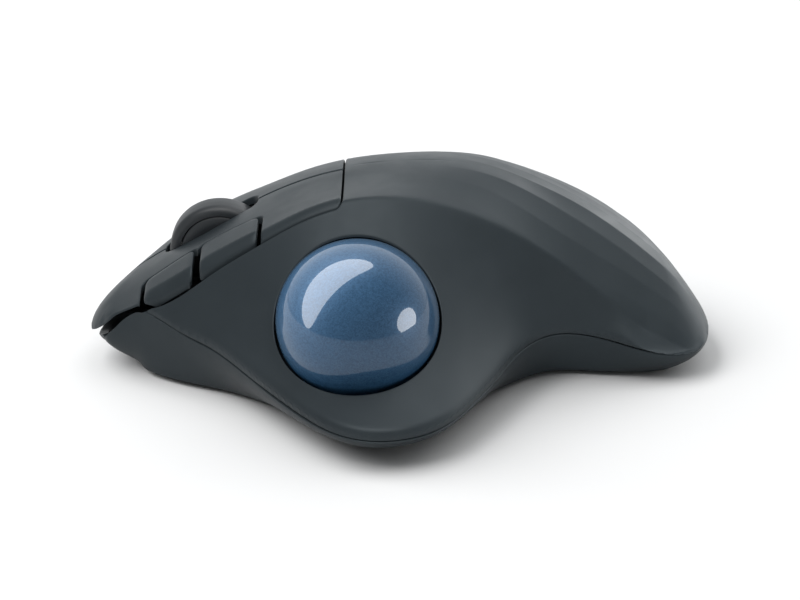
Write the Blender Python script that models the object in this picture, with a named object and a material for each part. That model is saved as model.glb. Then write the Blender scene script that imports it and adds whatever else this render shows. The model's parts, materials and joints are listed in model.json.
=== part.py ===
"""A wireless thumb trackball: a palm shell, two main buttons, two side buttons, a scroll wheel and a 34 mm ball.

All sizes below are in millimetres. The finished objects are in metres.
+X runs from the front to the heel, +Y from the thumb side to the finger side, and +Z up from the desk.
"""

import math

import bmesh
import bpy
import numpy as np
from mathutils import Matrix, Vector

MM = 0.001
GAP = 0.3

# The parting line between the two case halves, seen from above, counter-clockwise from the nose.
# Each row: x, y, height of the parting line, radius of the rolled upper edge, inward tuck of the base.
OUTLINE = [
    (-67.8, -1.5, 6.4, 6.0, 9.0),
    (-63.5, -7.6, 10.7, 3.5, 6.0),
    (-57.0, -10.4, 16.2, 2.4, 2.0),
    (-47.6, -15.5, 14.0, 2.2, 1.5),
    (-39.7, -21.5, 12.6, 2.0, 4.0),
    (-30.5, -31.5, 10.5, 2.0, 7.0),
    (-22.0, -41.2, 8.8, 2.0, 9.0),
    (-13.0, -48.6, 7.4, 2.0, 10.0),
    (-3.5, -51.0, 7.0, 2.0, 10.0),
    (7.0, -46.8, 7.0, 2.0, 10.0),
    (14.5, -37.0, 7.4, 2.0, 8.0),
    (20.4, -26.5, 8.5, 2.0, 5.0),
    (26.2, -16.6, 10.0, 2.0, 2.5),
    (33.8, -10.4, 10.5, 2.2, 1.3),
    (44.0, -10.6, 9.5, 2.6, 1.0),
    (55.0, -12.6, 7.2, 4.0, 3.0),
    (63.5, -10.2, 6.2, 6.5, 5.0),
    (67.9, -1.0, 6.2, 9.0, 6.0),
    (66.6, 12.0, 6.8, 11.0, 5.0),
    (58.0, 28.0, 8.0, 13.0, 5.0),
    (42.0, 41.0, 9.5, 15.0, 5.0),
    (20.0, 48.0, 11.0, 17.0, 7.0),
    (-5.0, 49.3, 12.0, 15.0, 8.0),
    (-30.0, 44.0, 12.0, 13.0, 8.0),
    (-50.0, 31.0, 10.5, 11.0, 8.0),
    (-62.5, 14.0, 8.8, 9.0, 9.0),
]
CENTRE = np.array([0.0, 10.0])  # the rings of the case shrink to this point
LENGTHWISE = 0.5  # they shrink this much slower along the body than across it

# Curves along the body: (x, value).
CREST_Z = [(-70, 12.5), (-60, 17.5), (-50, 24.5), (-40, 31), (-30, 35.5), (-20, 39.5), (-10, 42), (0, 43),
           (10, 43), (20, 41.5), (30, 38), (40, 33.5), (50, 27.5), (58, 21.5), (66, 14)]
CREST_Y = [(-68, 2), (-40, 4), (0, 5), (40, 7), (68, 4)]
CREASE_Y = [(-62, -8.5), (-50, -12), (-31, -13.5), (-12, -12.5), (4, -10.3), (20, -8), (36, -7), (50, -9), (64, -9)]
LEFT_SLOPE = [(-60, 0.35), (-45, 0.25), (-30, 0.05), (-12, -0.12), (0, 0.0), (12, 0.35), (26, 0.95),
              (38, 1.35), (48, 1.4), (60, 1.3)]
CREST_WIDTH = 8.0  # how sharply the thumb side of the crest turns into its slope
PALM_RADIUS = 42.0  # the finger side of the crest, a parabola
LIP_RISE, HEEL_RISE = 2.4, 2.0
CREASE_SOFT, HEEL_SOFT = 0.6, 4.5
VALLEY = (-42.0, 8.0, 9.0, 8.0, 2.0)  # finger dip round the wheel: x, y, half length, half width, depth

CASE_WALL = 2.0
BUTTON_WALL = 1.8
BASE_Z = 0.8
FLOOR_TOP = 2.8
AROUND = 80

# The ball, tilted out towards the thumb.
BALL_R = 17.0
RING_CENTRE = np.array([-8.8, -29.0, 24.3])
RING_TILT = math.radians(43.0)
RING_R = 17.45
BALL_DEPTH = 3.5
BALL_OUT = np.array([0.0, -math.cos(RING_TILT), math.sin(RING_TILT)])
BALL = RING_CENTRE - BALL_DEPTH * BALL_OUT
CUP_IN, CUP_OUT = 17.7, 19.3
PUSH_HOLE_R = 5.0

# The buttons.
SEAM_X = -12.2
SPLIT_Y = 8.0
SPLIT_GAP = 0.6
BUTTON_RISE = 1.3
SIDE_TOP_Y = -4.0
FORWARD_X = (-55.0, -44.2)
BACK_X = (-42.6, -30.2)
SIDE_GAP = 0.7
LEFT_STEM = (-49.5, -0.8)
RIGHT_STEM = (-36.5, 21.0)
SIDE_STEM_Y = -6.8
FORWARD_STEM_X, BACK_STEM_X = -49.4, -36.4
SWITCH_TOP = 17.1
SIDE_SWITCH_TOP = 15.1

# The wheel.
WHEEL = np.array([-39.5, 8.0, 22.7])
WHEEL_R = 11.1
WHEEL_WIDTH = 6.4
HUB_R = 8.6
AXLE_R = 1.2
SLOT_HALF = 4.0

# Inside.
BOARD_Z = (9.0, 10.6)
BATTERY_X, BATTERY_Y, BATTERY_Z = -9.6, 14.0, 10.3  # the shoulder at its positive end, and its axis
BATTERY_R = 7.1
BAY = (-12.2, 44.2, 6.0, 22.0, 18.4)  # x, x, y, y, ceiling
POCKET = (1.5, 25.0, 21.5, 36.2, 11.0)
DOOR = [(-13.5, 4.6), (45.5, 4.6), (45.5, 22.8), (37.0, 25.5), (27.0, 37.6), (0.0, 37.6), (-13.5, 25.5)]
DOOR_THICK = 1.6
SCREWS = [(-36.0, -15.0), (-7.5, 38.0), (18.0, -12.0), (57.0, 5.0), (40.0, -3.4)]
BUTTON_HINGE = (-12.4, 26.0)  # x, z of the line that both main buttons tip about
DOOR_HINGE = (-11.95, 1.6)
ORIGIN = (0.2, -0.75, 0.0)  # the point of the desk that ends up at the origin, under the middle of the body
FEET = [(-50.0, 2.0, 4.2), (-30.0, 33.0, 4.2), (-3.0, -37.0, 3.6), (51.0, -3.5, 4.0), (57.5, 15.5, 3.0)]
POWER = np.array([-30.0, 20.0])
CONNECT = np.array([-30.0, 2.0])

MATERIALS = {
    "graphite": ((0.060, 0.066, 0.070), 0.50, 0.0),
    "dark": ((0.030, 0.032, 0.035), 0.55, 0.0),
    "rubber": ((0.020, 0.021, 0.022), 0.75, 0.0),
    "blue": ((0.045, 0.130, 0.260), 0.15, 0.0),
    "steel": ((0.60, 0.61, 0.62), 0.30, 1.0),
    "ceramic": ((0.85, 0.85, 0.82), 0.20, 0.0),
    "board": ((0.02, 0.16, 0.07), 0.45, 0.0),
    "clear": ((0.80, 0.85, 0.88), 0.08, 0.0),
    "label": ((0.20, 0.35, 0.22), 0.35, 0.0),
    "ribbon": ((0.75, 0.72, 0.62), 0.50, 0.0),
}

PARTS = bpy.data.collections.new("trackball_mouse")
CUTTERS = bpy.data.collections.new("cutters")


def clear_scene():
    for old in list(bpy.data.objects):
        bpy.data.objects.remove(old, do_unlink=True)
    for collection in (PARTS, CUTTERS):
        bpy.context.scene.collection.children.link(collection)
    CUTTERS.hide_render = True


# ---------------------------------------------------------------- curves and the body surface


def spline(points):
    """A natural cubic through (x, value) points, straight beyond its ends."""
    xs = np.array([p[0] for p in points], float)
    ys = np.array([p[1] for p in points], float)
    count, step = len(xs), np.diff(xs)
    matrix, right = np.eye(count), np.zeros(count)
    for i in range(1, count - 1):
        matrix[i, i - 1:i + 2] = step[i - 1], 2 * (step[i - 1] + step[i]), step[i]
        right[i] = 6 * ((ys[i + 1] - ys[i]) / step[i] - (ys[i] - ys[i - 1]) / step[i - 1])
    bend = np.linalg.solve(matrix, right)
    slope_in = (ys[1] - ys[0]) / step[0] - bend[1] * step[0] / 6
    slope_out = (ys[-1] - ys[-2]) / step[-1] + bend[-2] * step[-1] / 6

    def value(x):
        x = np.asarray(x, float)
        inside = np.clip(x, xs[0], xs[-1])
        i = np.clip(np.searchsorted(xs, inside) - 1, 0, count - 2)
        before, after, h = xs[i + 1] - inside, inside - xs[i], step[i]
        curve = (bend[i] * before**3 + bend[i + 1] * after**3) / (6 * h)
        chord = (ys[i] / h - bend[i] * h / 6) * before + (ys[i + 1] / h - bend[i + 1] * h / 6) * after
        ends = np.minimum(x - xs[0], 0) * slope_in + np.maximum(x - xs[-1], 0) * slope_out
        return curve + chord + ends

    return value


def closed_curve(rows, samples):
    """A smooth closed curve through the rows, sampled evenly along its length."""
    rows = np.array(rows, float)
    wrap = 3
    run = np.vstack([rows[-wrap:], rows, rows[:wrap + 1]])
    knots = np.concatenate([[0], np.cumsum(np.sqrt(np.linalg.norm(np.diff(run[:, :2], axis=0), axis=1)))])
    fine = np.linspace(knots[wrap], knots[wrap + len(rows)], samples * 8 + 1)
    dense = np.stack([spline(list(zip(knots, run[:, c])))(fine) for c in range(rows.shape[1])], 1)
    length = np.concatenate([[0], np.cumsum(np.linalg.norm(np.diff(dense[:, :2], axis=0), axis=1))])
    even = np.linspace(0, length[-1], samples, endpoint=False)
    return np.stack([np.interp(even, length, dense[:, c]) for c in range(rows.shape[1])], 1)


crest_z, crest_y, crease_y, left_slope = (spline(p) for p in (CREST_Z, CREST_Y, CREASE_Y, LEFT_SLOPE))
EDGE = closed_curve(OUTLINE, 1440)
THUMB = EDGE[(EDGE[:, 1] < -3) & (EDGE[:, 0] > -64.5) & (EDGE[:, 0] < 65.5)]
THUMB = THUMB[np.argsort(THUMB[:, 0])]


def dome(x, y):
    """The palm and the buttons: a crest that slopes to the thumb side and rounds off to the finger side."""
    across = y - crest_y(x)
    u = np.minimum(across, 0) / CREST_WIDTH
    thumb_drop = left_slope(x) * CREST_WIDTH * (np.sqrt(1 + u * u) - 1)
    finger_drop = np.maximum(across, 0) ** 2 / (2 * PALM_RADIUS)
    vx, vy, vl, vw, depth = VALLEY
    dip = depth * np.exp(-((x - vx) / vl) ** 2 - ((y - vy) / vw) ** 2)
    return crest_z(x) - thumb_drop - finger_drop - dip


def heel(x):
    """0 along the thumb panel, rising smoothly to 1 at the heel."""
    part = np.clip((x - 40) / 24, 0, 1)
    return part * part * (3 - 2 * part)


def panel(x, y):
    """The hollow thumb panel, from the lip at the parting line up to the crease."""
    lip_y = np.interp(x, THUMB[:, 0], THUMB[:, 1])
    lip_z = np.interp(x, THUMB[:, 0], THUMB[:, 2]) + LIP_RISE + HEEL_RISE * heel(x)
    top_y = np.maximum(crease_y(x), lip_y + 1)
    t = np.maximum((y - lip_y) / (top_y - lip_y), 0)
    rise = np.where(t < 1, 0.45 * t + 0.55 * t * t, 1 + 1.55 * (t - 1))
    clear = 2.5 * heel(x) * np.maximum(y - top_y, 0)
    return lip_z + np.maximum(dome(x, top_y) - lip_z, 1.5) * rise + clear


def height(x, y):
    """The lower of the dome and the panel, with a crease between them that fades out towards the heel."""
    soft = CREASE_SOFT + HEEL_SOFT * heel(x)
    a, b = dome(x, y), panel(x, y)
    return (a + b - np.sqrt((a - b) ** 2 + soft * soft)) / 2


def nearest_edge(x, y):
    """Distance to the parting line in plan, and the row of EDGE it is nearest to."""
    flat = np.stack([np.ravel(x), np.ravel(y)], 1)
    away = np.linalg.norm(flat[:, None] - EDGE[None, :, :2], axis=2)
    row = away.argmin(1)
    return away[np.arange(len(flat)), row].reshape(np.shape(x)), row.reshape(np.shape(x))


def outside(x, y, rise=0.0):
    """The outer surface above the parting line, rolled over at its edge."""
    away, row = nearest_edge(x, y)
    low = EDGE[row, 2] + rise
    u = np.clip(1 - away / EDGE[row, 3], 0, 1)
    return low + np.sqrt(1 - u * u) * (height(x, y) - low)


def inside(x, y, wall, rise=0.0):
    """The inner surface of a wall of the given thickness."""
    away, row = nearest_edge(x, y)
    low = EDGE[row, 2] + rise
    step = 0.05
    steep_x = (height(x + step, y) - height(x - step, y)) / (2 * step)
    steep_y = (height(x, y + step) - height(x, y - step)) / (2 * step)
    steep = np.minimum(np.hypot(steep_x, steep_y), 2.5)
    ceiling = np.maximum(height(x, y) - wall * np.sqrt(1 + steep**2), low + GAP)
    u = np.clip(1 - (away - wall) / np.maximum(EDGE[row, 3] - wall, 1.2), 0, 1)
    return low + np.sqrt(1 - u * u) * (ceiling - low)


def inward(start, part):
    """The points of a ring: the parting line shrunk towards the centre by a fraction."""
    x = CENTRE[0] + (start[:, 0] - CENTRE[0]) * (1 - part) ** LENGTHWISE
    y = CENTRE[1] + (start[:, 1] - CENTRE[1]) * (1 - part)
    return x, y


def ring_start():
    """Points along the parting line, and the fraction that moves each one a millimetre inwards."""
    start = closed_curve(OUTLINE, AROUND)
    way = (CENTRE - start[:, :2]) * (LENGTHWISE, 1)
    along = np.roll(start[:, :2], -1, 0) - np.roll(start[:, :2], 1, 0)
    across = np.abs(along[:, 0] * way[:, 1] - along[:, 1] * way[:, 0]) / np.linalg.norm(along, axis=1)
    return start, 1 / np.maximum(across, 12)


def ring_fractions(start, per_mm):
    """How far in each ring lies: the rolled edge, then the crease, then the middle."""
    rolled = np.clip(start[:, 3] * per_mm, 0, 0.6)
    crease = rolled * 1.3
    thumb = start[:, 1] < -8
    for _ in range(20):
        x = inward(start, crease)[0]
        there = (crease_y(x) - start[:, 1]) / np.maximum(CENTRE[1] - start[:, 1], 1e-6)
        crease = np.where(thumb, np.clip(there, rolled * 1.15, 0.85), rolled * 1.3)
    rings = [rolled * (1 - math.cos(math.radians(a))) for a in (0, 30, 60, 90)]
    rings += [rolled + (crease - rolled) * part for part in (0.35, 0.7, 1.0)]
    rings += [crease + (1 - crease) * part for part in (0.2, 0.42, 0.64, 0.84, 0.96)]
    return rings


# ---------------------------------------------------------------- making objects


def material(name, kind):
    colour, roughness, metallic = MATERIALS[kind]
    made = bpy.data.materials.new(name)
    made.use_nodes = True
    shader = made.node_tree.nodes["Principled BSDF"]
    shader.inputs["Base Color"].default_value = (*colour, 1)
    shader.inputs["Roughness"].default_value = roughness
    shader.inputs["Metallic"].default_value = metallic
    return made


def add(name, mesh, kind):
    """Links a mesh as a part, or as a hidden cutter when kind is None."""
    made = bpy.data.objects.new(name, mesh)
    if kind is None:
        made.hide_render = True
        made.display_type = "WIRE"
        CUTTERS.objects.link(made)
    else:
        mesh.materials.append(material(name, kind))
        PARTS.objects.link(made)
    return made


def finish_mesh(name, bm):
    bmesh.ops.recalc_face_normals(bm, faces=bm.faces)
    mesh = bpy.data.meshes.new(name)
    bm.to_mesh(mesh)
    bm.free()
    return mesh


def box(name, low, high, kind=None, bevel=0.0):
    """A box between two corners, its upright and flat edges broken by the bevel."""
    low, high = np.array(low, float), np.array(high, float)
    bm = bmesh.new()
    bmesh.ops.create_cube(bm, size=1)
    bmesh.ops.scale(bm, vec=(high - low) * MM, verts=bm.verts)
    if bevel:
        bmesh.ops.bevel(bm, geom=bm.edges, offset=bevel * MM, segments=1, affect="EDGES")
    made = add(name, finish_mesh(name, bm), kind)
    made.location = Vector((low + high) / 2 * MM)
    return made


def rod(name, start, end, radius, kind=None, end_radius=None, sides=20):
    """A cylinder or a cone between two points, with its origin at the middle."""
    start, end = Vector(start), Vector(end)
    bm = bmesh.new()
    top = radius if end_radius is None else end_radius
    depth = (end - start).length * MM
    bmesh.ops.create_cone(bm, cap_ends=True, segments=sides, radius1=radius * MM, radius2=top * MM, depth=depth)
    made = add(name, finish_mesh(name, bm), kind)
    made.rotation_mode = "QUATERNION"
    made.rotation_quaternion = (end - start).to_track_quat("Z", "Y")
    made.location = (start + end) / 2 * MM
    return made


def ball(name, centre, radius, kind=None, segments=20):
    bm = bmesh.new()
    bmesh.ops.create_uvsphere(bm, u_segments=segments, v_segments=segments // 2, radius=radius * MM)
    made = add(name, finish_mesh(name, bm), kind)
    made.location = Vector(centre) * MM
    return made


def prism(name, outline, low, high, kind=None):
    """A flat outline pulled up between two heights."""
    bm = bmesh.new()
    face = bm.faces.new([bm.verts.new((x * MM, y * MM, low * MM)) for x, y in outline])
    pulled = bmesh.ops.extrude_face_region(bm, geom=[face])
    top = [v for v in pulled["geom"] if isinstance(v, bmesh.types.BMVert)]
    bmesh.ops.translate(bm, vec=(0, 0, (high - low) * MM), verts=top)
    return add(name, finish_mesh(name, bm), kind)


def turned(name, profile, centre, axis, kind=None, sides=32):
    """A closed (radius, along) profile swept round an axis through the centre."""
    bm = bmesh.new()
    points = [bm.verts.new((r * MM, 0, a * MM)) for r, a in profile]
    edges = [bm.edges.new((one, two)) for one, two in zip(points, points[1:] + points[:1])]
    bmesh.ops.spin(
        bm, geom=points + edges, cent=(0, 0, 0), axis=(0, 0, 1), angle=2 * math.pi, steps=sides, use_merge=True
    )
    made = add(name, finish_mesh(name, bm), kind)
    made.rotation_mode = "QUATERNION"
    made.rotation_quaternion = Vector(axis).to_track_quat("Z", "Y")
    made.location = Vector(centre) * MM
    return made


def set_origin(made, point):
    """Moves an object's origin without moving its shape."""
    shift = Vector(point) * MM - made.location
    made.data.transform(Matrix.Translation(-shift))
    made.location += shift


def boolean(target, other, operation):
    """Thin cuts across the smooth shells of the buttons need the manifold solver."""
    step = target.modifiers.new(f"{operation.lower()} {other.name}", "BOOLEAN")
    step.operation = operation
    step.object = other
    step.solver = "MANIFOLD" if target.name.endswith("_button") else "EXACT"


def cut(target, *others):
    for other in others:
        boolean(target, other, "DIFFERENCE")


def join(target, *others):
    for other in others:
        boolean(target, other, "UNION")


def keep(target, other):
    boolean(target, other, "INTERSECT")


def ring_mesh(name, rings, closing):
    """A closed mesh through rings of points. Each end of the run closes on one point."""
    bm = bmesh.new()
    loops = [[bm.verts.new(p * MM) for p in ring] for ring in rings]
    tips = [bm.verts.new(np.array(p) * MM) for p in closing]
    count = len(rings[0])
    for one, two in zip(loops, loops[1:]):
        for i in range(count):
            j = (i + 1) % count
            bm.faces.new((one[i], one[j], two[j], two[i]))
    for loop, tip in ((loops[0], tips[0]), (loops[-1], tips[1])):
        for i in range(count):
            bm.faces.new((loop[i], loop[(i + 1) % count], tip))
    return finish_mesh(name, bm)


# ---------------------------------------------------------------- the case


def shell_mesh(name, wall, rise):
    """The upper shell of the whole body, before it is cut into its pieces."""
    start, per_mm = ring_start()
    rise = GAP / 2 + (rise - GAP / 2) * np.clip((5 - start[:, 0]) / 15, 0, 1)
    outer, inner = [], []
    for number, part in enumerate(ring_fractions(start, per_mm)):
        x, y = inward(start, part)
        outer.append(np.stack([x, y, outside(x, y, rise)], 1))
        first = wall * per_mm
        x, y = inward(start, first + (1 - first) * part)
        low = start[:, 2] + rise
        z = np.minimum(inside(x, y, wall, rise), outside(x, y, rise) - 0.7 * wall)
        z = np.maximum(z, low + 0.05) if number else low
        inner.append(np.stack([x, y, z], 1))
    rise = GAP / 2
    peak = [(*CENTRE, float(outside(*CENTRE, rise))), (*CENTRE, float(inside(*CENTRE, wall, rise)))]
    return ring_mesh(name, outer[::-1] + inner, peak)


def shell(name, wall, rise, kind):
    return add(name, shell_mesh(name, wall, rise), kind)


def gap_line(shift, first=-70.0, last=SEAM_X):
    """Points along the crease, moved sideways."""
    return [(x, float(crease_y(x)) + shift) for x in np.linspace(first, last, 14)]


def hood_outline(shift, seam):
    """The plan area of all four buttons."""
    line = gap_line(shift, last=seam)
    return line + [(seam, 60.0), (-75.0, 60.0), (-75.0, line[0][1])]


def surface_z(x, y):
    return float(outside(np.array(x), np.array(y)))


def screw_post(number, x, y):
    rim = [surface_z(x + 3 * math.cos(a), y + 3 * math.sin(a)) for a in np.linspace(0, 2 * math.pi, 13)]
    top = min(rim) - CASE_WALL * 0.9
    post = rod(f"post_{number}", (x, y, 6.3), (x, y, top), 3.0, sides=14)
    hole = rod(f"post_hole_{number}", (x, y, 5.0), (x, y, 17.0), 1.6, sides=12)
    return post, hole


def make_top_case():
    top = shell("top_case", CASE_WALL, GAP / 2, "graphite")
    cut(top, prism("hood_area", hood_outline(-0.8, SEAM_X + 0.2), 0, 70))
    collar = rod("collar", RING_CENTRE - 6.0 * BALL_OUT, RING_CENTRE - 0.4 * BALL_OUT, RING_R + 2.2, sides=40)
    keep(collar, add("collar_limit", shell_mesh("collar_limit", 9.0, GAP / 2), None))
    posts = [screw_post(i, x, y) for i, (x, y) in enumerate(SCREWS, 1)]
    join(top, *[post for post, _ in posts])
    cut(top, *[hole for _, hole in posts])
    cut(top, rod("ball_opening", BALL - 6 * BALL_OUT, BALL + 40 * BALL_OUT, RING_R, sides=40))
    return top


def bottom_rings(inset, floor, levels):
    """Rings from the parting line down to the floor. The wall leaves the parting line upright and then tucks in."""
    start, per_mm = ring_start()
    rings = []
    for level in levels:
        x, y = inward(start, (start[:, 4] * (1 - level) ** 1.7 + inset) * per_mm)
        z = floor + (start[:, 2] - GAP / 2 - floor) * level
        rings.append(np.stack([x, y, z], 1))
    return rings


def make_bottom_case():
    outer = bottom_rings(0.0, BASE_Z, (0.0, 0.1, 0.28, 0.5, 0.75, 1.0))
    inner = bottom_rings(CASE_WALL, FLOOR_TOP, (1.0, 0.6, 0.25, 0.0))
    middle = [(*CENTRE, BASE_Z), (*CENTRE, FLOOR_TOP)]
    case = add("bottom_case", ring_mesh("bottom_case", outer + inner, middle), "dark")

    x0, x1, y0, y1, roof = BAY
    px0, px1, py0, py1, pocket_roof = POCKET
    wall = 1.4
    join(case, box("bay_walls", (x0 - wall, y0 - wall, 1.5), (x1 + wall, y1 + wall, roof + wall)))
    join(case, box("pocket_walls", (px0 - wall, py0 - 1, 1.6), (px1 + wall, py1 + wall, pocket_roof + wall)))
    for number, (x, y) in enumerate(SCREWS, 1):
        join(case, rod(f"boss_{number}", (x, y, 1.7), (x, y, 6.0), 4.4, sides=16))
    for number, (x, y) in enumerate([(-50.0, -1.0), (-45.0, 20.5), (-21.0, -1.0), (-21.0, 21.0)], 1):
        join(case, rod(f"board_post_{number}", (x, y, 1.8), (x, y, BOARD_Z[0] - GAP), 1.8, sides=12))

    join(case, prism("door_ceiling", offset_outline(DOOR, 1.2), 1.4, 4.2))

    cut(case, box("bay_hollow", (x0, y0, -1), (x1, y1, roof)))
    cut(case, box("pocket_hollow", (px0, py0, -1.2), (px1, py1, pocket_roof)))
    cut(case, prism("door_opening", DOOR, -1.1, BASE_Z + DOOR_THICK + GAP))
    cut(case, box("hinge_room", (DOOR[0][0] - 0.1, 4.4, 0), (DOOR_HINGE[0] + 0.5, 27.4, 3.4)))
    cut(case, rod("push_hole", (BALL[0], BALL[1], -1), (BALL[0], BALL[1], 12), PUSH_HOLE_R, sides=24))
    for number, (x, y) in enumerate(SCREWS, 1):
        cut(case, rod(f"screw_seat_{number}", (x, y, -1), (x, y, 4.2), 3.1, sides=16))
        cut(case, rod(f"screw_way_{number}", (x, y, 3), (x, y, 9), 1.7, sides=12))
    for number, (x, y, radius) in enumerate(FEET, 1):
        cut(case, rod(f"foot_pocket_{number}", (x, y, -1), (x, y, BASE_Z + 0.6), radius + 0.3, sides=20))
    x, y = POWER
    cut(case, box("power_slot", (x - 4.0, y - 2.0, -1), (x + 4.0, y + 2.0, 5)))
    x, y = CONNECT
    cut(case, rod("connect_hole", (x, y, -1), (x, y, 5), 2.5, sides=20))
    return case


def make_door():
    inset = prism("battery_door", offset_outline(DOOR, -0.35), BASE_Z, BASE_Z + DOOR_THICK, "dark")
    for number in range(3):
        x = 32.0 + 3.0 * number
        cut(inset, box(f"door_grip_{number}", (x, 9.0, -1), (x + 1.2, 17.0, BASE_Z + 0.6)))
    set_origin(inset, (DOOR_HINGE[0], 15.0, DOOR_HINGE[1]))
    return inset


def offset_outline(points, distance):
    """The polygon with every side moved outward by the distance. The points run counter-clockwise."""
    points = np.array(points, float)
    moved = []
    for before, here, after in zip(np.roll(points, 1, 0), points, np.roll(points, -1, 0)):
        into, out = here - before, after - here
        into, out = into / np.linalg.norm(into), out / np.linalg.norm(out)
        n1, n2 = np.array([into[1], -into[0]]), np.array([out[1], -out[0]])
        moved.append(tuple(here + distance * (n1 + n2) / (1 + n1 @ n2)))
    return moved


# ---------------------------------------------------------------- the buttons


def side_area(span, grow):
    """The plan area of one side button, from its upper edge out past the crease."""
    first, last = span[0] - grow, span[1] + grow
    line = [(x, float(crease_y(x)) - 3.0) for x in np.linspace(first, last, 5)]
    return line + [(last, SIDE_TOP_Y + grow), (first, SIDE_TOP_Y + grow)]


def stem(name, x, y, low, size):
    """A square peg from the height low up into the wall of a button."""
    corners = [surface_z(x + i * size / 2, y + j * size / 2) for i in (-1, 1) for j in (-1, 1)]
    top = min(corners) + BUTTON_RISE - BUTTON_WALL * 0.6
    return box(name, (x - size / 2, y - size / 2, low), (x + size / 2, y + size / 2, top))


def make_main_button(name, outline, stem_at, stem_low):
    button = shell(name, BUTTON_WALL, BUTTON_RISE, "graphite")
    keep(button, prism(f"{name}_area", outline, -1, 70))
    cut(button, box(f"{name}_wheel_slot", (-51.6, SPLIT_Y - SLOT_HALF, 5), (-30.2, SPLIT_Y + SLOT_HALF, 60)))
    join(button, stem(f"{name}_stem", *stem_at, stem_low, 2.6))
    set_origin(button, (BUTTON_HINGE[0], SPLIT_Y, BUTTON_HINGE[1]))
    return button


def make_buttons():
    left_line = gap_line(0.3, last=SEAM_X - 0.2)
    seam = SEAM_X - 0.2
    half = SPLIT_GAP / 2
    left = left_line + [(seam, SPLIT_Y - half), (-75.0, SPLIT_Y - half), (-75.0, left_line[0][1])]
    right = [(-75.0, SPLIT_Y + half), (seam, SPLIT_Y + half), (seam, 60.0), (-75.0, 60.0)]
    left_button = make_main_button("left_button", left, LEFT_STEM, 18.3)
    for name, span in (("forward", FORWARD_X), ("back", BACK_X)):
        cut(left_button, prism(f"{name}_notch", side_area(span, SIDE_GAP), -1, 70))
    make_main_button("right_button", right, RIGHT_STEM, 18.3)
    for name, span, x in (("forward_button", FORWARD_X, FORWARD_STEM_X), ("back_button", BACK_X, BACK_STEM_X)):
        button = shell(name, BUTTON_WALL, BUTTON_RISE, "graphite")
        keep(button, prism(f"{name}_area", side_area(span, 0.0), -1, 70))
        cut(button, prism(f"{name}_gap", gap_line(-12, last=-20) + gap_line(1.2, last=-20)[::-1], -1.1, 71))
        join(button, stem(f"{name}_stem", x, SIDE_STEM_Y, SIDE_SWITCH_TOP + GAP, 2.2))
        set_origin(button, (x, SIDE_STEM_Y, SIDE_SWITCH_TOP))


# ---------------------------------------------------------------- the wheel


def make_wheel():
    across = (0, 1, 0)
    half = WHEEL_WIDTH / 2
    tyre = [(HUB_R + GAP, -half), (WHEEL_R - 1.0, -half), (WHEEL_R - 0.2, -half + 1.0), (WHEEL_R, -half + 2.2),
            (WHEEL_R, half - 2.2), (WHEEL_R - 0.2, half - 1.0), (WHEEL_R - 1.0, half), (HUB_R + GAP, half)]
    turned("wheel_tyre", tyre, WHEEL, across, "rubber", sides=36)
    hub = [(AXLE_R + GAP, -half + 0.2), (HUB_R, -half + 0.2), (HUB_R, half - 0.2), (AXLE_R + GAP, half - 0.2)]
    turned("wheel_hub", hub, WHEEL, across, "dark", sides=28)
    rod("wheel_axle", WHEEL - (0, 7.2, 0), WHEEL + (0, 4.8, 0), AXLE_R, "steel", sides=14)


def make_wheel_carrier():
    """A frame round the foot of the wheel, two cheeks that hold the axle, and the encoder beside the thumb-side cheek."""
    x, y, z = WHEEL
    frame = box("wheel_carrier", (x - 12.2, y - 4.9, 15.5), (x + 15.2, y + 4.9, 17.2), "dark")
    for side in (-1, 1):
        near, far = sorted((y + side * 3.8, y + side * 4.89))
        join(frame, box(f"cheek_{side}", (x - 2.2, near, 16.3), (x + 2.2, far, z + 0.7)))
    cut(frame, box("wheel_well", (x - 10.6, y - 3.5, 10), (x + 10.6, y + 3.5, 30)))
    cut(frame, rod("axle_way", WHEEL - (0, 9, 0), WHEEL + (0, 9, 0), AXLE_R + GAP, sides=14))
    body = box("encoder", (x - 3.6, y - 8.6, 18.6), (x + 4.4, y - 5.2, 25.5), "dark", bevel=0.4)
    cut(body, rod("encoder_way", WHEEL - (0, 4, 0), WHEEL - (0, 7.6, 0), AXLE_R + GAP, sides=14))


# ---------------------------------------------------------------- the ball and its seat


def direction(tilt, turn):
    """A unit vector at an angle from the way the ball faces, turned about that way."""
    side = np.array([1.0, 0.0, 0.0])
    up = np.cross(BALL_OUT, side)
    around = math.cos(turn) * side + math.sin(turn) * up
    return math.cos(tilt) * BALL_OUT + math.sin(tilt) * around


SENSOR_WAY = np.array([0.0, math.cos(math.radians(18)), -math.sin(math.radians(18))])


def make_ball():
    ball("ball", BALL, BALL_R, "blue", segments=36)
    profile = []
    for angle in np.radians(np.linspace(112, 176, 8)):
        profile.append((CUP_OUT * math.sin(angle), CUP_OUT * math.cos(angle)))
    for angle in np.radians(np.linspace(176, 112, 8)):
        profile.append((CUP_IN * math.sin(angle), CUP_IN * math.cos(angle)))
    cup = turned("ball_socket", profile, BALL, BALL_OUT, "dark", sides=40)
    cut(cup, rod("sensor_window", BALL, BALL + 25 * SENSOR_WAY, 3.2, sides=16))
    cut(cup, rod("push_way", BALL, BALL - (0, 0, 30), PUSH_HOLE_R, sides=20))
    for number in range(3):
        way = direction(math.radians(124), math.radians(90 + 120 * number))
        ball(f"bearing_{number + 1}", BALL + (BALL_R + GAP / 2 + 1.2) * way, 1.2, "ceramic", segments=12)
        cut(cup, rod(f"bearing_seat_{number + 1}", BALL + 10 * way, BALL + 25 * way, 1.5, sides=14))


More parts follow.
